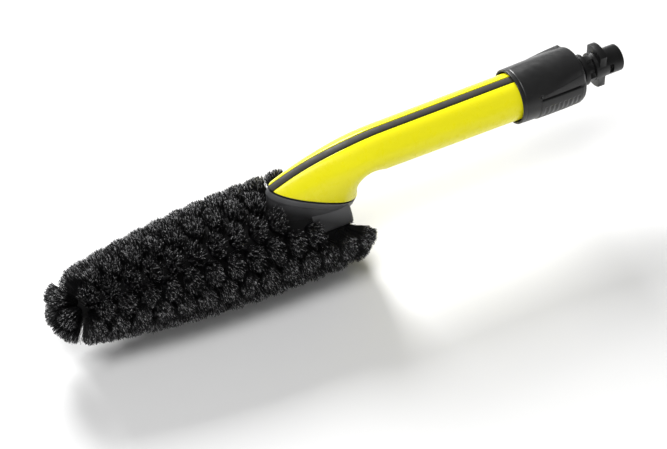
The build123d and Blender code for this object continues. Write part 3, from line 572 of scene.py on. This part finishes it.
# Colour, worn colour, roughness range, grain in cycles per metre, grain depth in metres, specular level.
PLASTICS = {
    "handle_yellow": ((0.96, 0.885, 0.010), (0.975, 0.90, 0.013), (0.24, 0.34), 5200, 0.00003, 0.3),
    "strip_rubber": ((0.024, 0.023, 0.019), (0.032, 0.030, 0.025), (0.5, 0.68), 4200, 0.00005, 0.25),
    "neck_black": ((0.092, 0.093, 0.097), (0.105, 0.106, 0.11), (0.36, 0.5), 3600, 0.00005, 0.5),
    "collar_black": ((0.011, 0.011, 0.0115), (0.015, 0.015, 0.015), (0.3, 0.42), 3200, 0.00006, 0.42),
    "connector_black": ((0.005, 0.005, 0.0053), (0.007, 0.007, 0.007), (0.3, 0.44), 4200, 0.00004, 0.38),
    "core_black": ((0.008, 0.008, 0.008), (0.011, 0.011, 0.011), (0.8, 0.95), 3200, 0.00005, 0.05),
    "inner_grey": ((0.33, 0.33, 0.32), (0.37, 0.37, 0.36), (0.38, 0.5), 3600, 0.00004, 0.5),
    "seal_rubber": ((0.018, 0.018, 0.018), (0.024, 0.024, 0.024), (0.4, 0.56), 5000, 0.00003, 0.5),
}
STEEL = (0.62, 0.62, 0.61)
# The pale tip colour is partly the filaments' paler split ends and partly painted glint of light off the
# crimps.
BRISTLE_ROOT, BRISTLE_PALE_TIP_AND_GLINT = (0.006, 0.006, 0.0065), (0.74, 0.74, 0.75)
# Painted shade for the neck's skirt; painted shadow for the groove at the neck joint.
SKIRT_PAINTED_SHADE, GROOVE_PAINTED_SHADOW = (0.024, 0.024, 0.025), (0.003, 0.003, 0.003)


def new_material(name):
    """Empty node material with its shader; returns material, node tree and shader."""
    material = bpy.data.materials.new(name)
    material.use_nodes = True
    tree = material.node_tree
    shader = tree.nodes["Principled BSDF"]
    return material, tree, shader


def add_noise(tree, scale, detail=4.0, roughness=0.55):
    """Noise texture in object space, scale in cycles per metre."""
    place = tree.nodes.new("ShaderNodeTexCoord")
    noise = tree.nodes.new("ShaderNodeTexNoise")
    noise.inputs["Scale"].default_value = scale
    noise.inputs["Detail"].default_value = detail
    noise.inputs["Roughness"].default_value = roughness
    tree.links.new(place.outputs["Object"], noise.inputs["Vector"])
    return noise


def remap(tree, source, low, high, from_low=0.3, from_high=0.7):
    """Map a texture's value onto a range."""
    node = tree.nodes.new("ShaderNodeMapRange")
    node.inputs["From Min"].default_value = from_low
    node.inputs["From Max"].default_value = from_high
    node.inputs["To Min"].default_value = low
    node.inputs["To Max"].default_value = high
    tree.links.new(source, node.inputs["Value"])
    return node.outputs["Result"]


def mix_colours(tree, factor, first, second):
    """Blend of two colours by a value; the first may also be a socket that gives the colour."""
    mix = tree.nodes.new("ShaderNodeMix")
    mix.data_type = "RGBA"
    if isinstance(first, tuple):
        mix.inputs[MIX_FIRST].default_value = (*first, 1)
    else:
        tree.links.new(first, mix.inputs[MIX_FIRST])
    mix.inputs[MIX_SECOND].default_value = (*second, 1)
    tree.links.new(factor, mix.inputs[MIX_FACTOR])
    return mix.outputs[MIX_RESULT]


def multiply(tree, first, second):
    """Product of two values."""
    node = tree.nodes.new("ShaderNodeMath")
    node.operation = "MULTIPLY"
    tree.links.new(first, node.inputs[0])
    tree.links.new(second, node.inputs[1])
    return node.outputs["Value"]


def add_bump(tree, shader, source, strength, distance):
    """Bump from a texture's value; distance is in metres."""
    bump = tree.nodes.new("ShaderNodeBump")
    bump.inputs["Strength"].default_value = strength
    bump.inputs["Distance"].default_value = distance
    tree.links.new(source, bump.inputs["Height"])
    tree.links.new(bump.outputs["Normal"], shader.inputs["Normal"])


def moulded_plastic(name, colour, worn, rough, grain_scale, grain_depth, specular):
    """Moulded plastic: cloudy colour, uneven gloss and a fine spark-eroded grain."""
    material, tree, shader = new_material(name)
    cloud = add_noise(tree, 38, 3)
    patches = add_noise(tree, 210, 5, 0.6)
    grain = add_noise(tree, grain_scale, 2, 0.5)
    tint = mix_colours(tree, remap(tree, cloud.outputs["Fac"], 0, 1), colour, worn)
    tree.links.new(tint, shader.inputs["Base Color"])
    tree.links.new(remap(tree, patches.outputs["Fac"], rough[0], rough[1]), shader.inputs["Roughness"])
    add_bump(tree, shader, grain.outputs["Fac"], 0.35, grain_depth)
    shader.inputs["Specular IOR Level"].default_value = specular
    return material


def shade_along(material, direction, start, end, painted_shade):
    """Paint shade onto a material along a direction: its own colour up to start, the painted shade colour
    from end on.
    """
    tree = material.node_tree
    base_colour = tree.nodes["Principled BSDF"].inputs["Base Color"]
    place = tree.nodes.new("ShaderNodeTexCoord")
    along = tree.nodes.new("ShaderNodeVectorMath")
    along.operation = "DOT_PRODUCT"
    along.inputs[1].default_value = direction
    tree.links.new(place.outputs["Object"], along.inputs[0])
    amount = remap(tree, along.outputs["Value"], 0, 1, start, end)
    shaded = mix_colours(tree, amount, base_colour.links[0].from_socket, painted_shade)
    tree.links.new(shaded, base_colour)


def bristle_material():
    """Black crimped filament: darker at the root, with grey tips that are partly paler split ends and
    partly painted glints of light off the crimps.
    """
    material, tree, shader = new_material("bristle")
    strand = tree.nodes.new("ShaderNodeVertexColor")
    strand.layer_name = "strand"
    parts = tree.nodes.new("ShaderNodeSeparateColor")
    tree.links.new(strand.outputs["Color"], parts.inputs["Color"])
    pale = remap(tree, parts.outputs["Red"], 0, 1, 0.36, 0.84)
    tip = remap(tree, parts.outputs["Green"], 0, 1, 0.78, 0.96)
    # Random painted glints along the filaments' tips.
    painted_glint = remap(tree, parts.outputs["Blue"], 0, 1, 0.35, 0.85)
    light = multiply(tree, multiply(tree, pale, tip), painted_glint)
    tint = mix_colours(tree, light, BRISTLE_ROOT, BRISTLE_PALE_TIP_AND_GLINT)
    tree.links.new(tint, shader.inputs["Base Color"])
    scuff = add_noise(tree, 900, 2)
    tree.links.new(remap(tree, scuff.outputs["Fac"], 0.45, 0.65), shader.inputs["Roughness"])
    shader.inputs["Specular IOR Level"].default_value = 0.25
    return material


def brushed_metal(name, colour):
    """Plain drawn steel with fine streaks."""
    material, tree, shader = new_material(name)
    streaks = add_noise(tree, 1400, 3)
    tree.links.new(remap(tree, streaks.outputs["Fac"], 0.22, 0.42), shader.inputs["Roughness"])
    tint = mix_colours(tree, streaks.outputs["Fac"], colour, tuple(part * 0.8 for part in colour))
    tree.links.new(tint, shader.inputs["Base Color"])
    shader.inputs["Metallic"].default_value = 1.0
    add_bump(tree, shader, streaks.outputs["Fac"], 0.2, 0.00002)
    return material


def paint(obj, material):
    """Put one material on every slot of an object."""
    obj.data.materials.clear()
    obj.data.materials.append(material)


def paint_node(node, material):
    """Give a carried-over CAD node a better material on its object's slots."""
    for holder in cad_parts[node].material_slots:
        holder.material = material


# ---- build -----------------------------------------------------------------------------------

core_low, core_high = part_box("end_cap_seal")
HEAD_Z = (core_low.z + core_high.z) / 2

plastic = {name: moulded_plastic(name, *looks) for name, looks in PLASTICS.items()}
steel = brushed_metal("steel", STEEL)
bristle = bristle_material()

joint_turn = math.radians(JOINT_ANGLE)
joint_down = (-math.sin(joint_turn), 0, math.cos(joint_turn))
joint_up = (-joint_down[0], 0, -joint_down[2])
joint_level = (BEND_X * joint_down[0] + BEND_Z * joint_down[2]) * MM
# Painted shade: the neck's skirt darkens from 5 to 13 mm below the joint, towards the tufts.
shade_along(plastic["neck_black"], joint_down, joint_level + 0.005, joint_level + 0.013, SKIRT_PAINTED_SHADE)
# Painted shadow: near black over the top 1.1 mm of the neck, in the groove under the yellow handle.
shade_along(plastic["neck_black"], joint_up, -joint_level - 0.0014, -joint_level - 0.0011, GROOVE_PAINTED_SHADOW)

paint(handle_shell("handle_half_left", "handle_shell_left", -1), plastic["handle_yellow"])
paint(handle_shell("handle_half_right", "handle_shell_right", 1), plastic["handle_yellow"])
paint(top_strip(), plastic["strip_rubber"])
paint(neck(), plastic["neck_black"])
paint(collar(), plastic["collar_black"])
connector = rounded_copy("connector", "bayonet_connector", "coupling", 0.3)
paint(connector, plastic["connector_black"])

carried_nodes = (
    (plastic["core_black"], ("brush_core", "core_end_cap")),
    (plastic["inner_grey"], ("swivel_socket", "thrust_washer", "water_pipe")),
    (plastic["seal_rubber"], ("inlet_seal", "spigot_seals", "nipple_seal", "end_cap_seal")),
    (steel, ("collar_snap_ring", "socket_clip", "handle_screws", "pipe_clamps", "neck_screws")),
)
for material, nodes in carried_nodes:
    for node in nodes:
        paint_node(node, material)

tuft_nodes = sorted(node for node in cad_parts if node.startswith("tufts_"))
for index, node in enumerate(tuft_nodes):
    paint(filament_mesh("bristles_" + node[6:], node, np.random.default_rng(100 + index)), bristle)

# ---- floor, light and camera -----------------------------------------------------------------

FLOOR_REACH, FLOOR_GAP = 6.0, 0.0005
CAMERA_AZIMUTH, CAMERA_ELEVATION, CAMERA_DISTANCE = -28.3, 45.46, 1.7
CAMERA_TARGET, CAMERA_LENS = (-0.1914, 0, -0.0535), 146.8
WORLD_STRENGTH = 0.16

# Name, direction from the object, distance and side in metres, power in watts.
SOFTBOXES = (
    ("key", (0.1, 1.2, 0.8), 1.6, 0.6, 42),
    ("top", (-0.5, -0.35, 1.4), 1.5, 0.7, 14),
    ("fill", (-0.9, -1.1, 0.8), 1.8, 1.0, 5),
)

centre = (Vector(cad_low) + Vector(cad_high)) / 2


def floor():
    """Pale studio floor under the bristles."""
    mesh = bpy.data.meshes.new("studio_floor")
    z = cad_low[2] - FLOOR_GAP
    reach = FLOOR_REACH
    mesh.from_pydata([(-reach, -reach, z), (reach, -reach, z), (reach, reach, z), (-reach, reach, z)], [],
                     [(0, 1, 2, 3)])
    obj = bpy.data.objects.new("studio_floor", mesh)
    bpy.context.scene.collection.objects.link(obj)
    material, tree, shader = new_material("studio_floor")
    cloud = add_noise(tree, 6, 2)
    tint = mix_colours(tree, cloud.outputs["Fac"], (0.77, 0.77, 0.77), (0.79, 0.79, 0.79))
    tree.links.new(tint, shader.inputs["Base Color"])
    shader.inputs["Roughness"].default_value = 0.9
    shader.inputs["Specular IOR Level"].default_value = 0.1
    obj.data.materials.append(material)


def softbox(name, direction, distance, size, power):
    """Square area light that faces the object's middle."""
    light = bpy.data.lights.new(name, "AREA")
    light.shape = "RECTANGLE"
    light.size, light.size_y = size, size
    light.energy = power
    obj = bpy.data.objects.new(name, light)
    bpy.context.scene.collection.objects.link(obj)
    way = Vector(direction).normalized()
    obj.location = centre + way * distance
    obj.rotation_euler = way.to_track_quat("Z", "Y").to_euler()


def camera():
    """Camera at the photographed three-quarter view from above, with a long lens."""
    azimuth, elevation = math.radians(CAMERA_AZIMUTH), math.radians(CAMERA_ELEVATION)
    level = math.cos(elevation)
    back = Vector((math.sin(azimuth) * level, -math.cos(azimuth) * level, math.sin(elevation)))
    data = bpy.data.cameras.new("camera")
    data.lens_unit = "MILLIMETERS"
    data.sensor_width = 36.0
    data.lens = CAMERA_LENS
    data.clip_start = 0.05
    obj = bpy.data.objects.new("camera", data)
    bpy.context.scene.collection.objects.link(obj)
    obj.location = Vector(CAMERA_TARGET) + back * CAMERA_DISTANCE
    obj.rotation_euler = back.to_track_quat("Z", "Y").to_euler()
    bpy.context.scene.camera = obj


floor()
for lamp in SOFTBOXES:
    softbox(*lamp)
camera()

world = bpy.data.worlds.new("studio")
world.use_nodes = True
sky = world.node_tree.nodes["Background"]
sky.inputs["Color"].default_value = (1, 1, 1, 1)
sky.inputs["Strength"].default_value = WORLD_STRENGTH
bpy.context.scene.world = world
bpy.context.scene.view_settings.view_transform = "Standard"
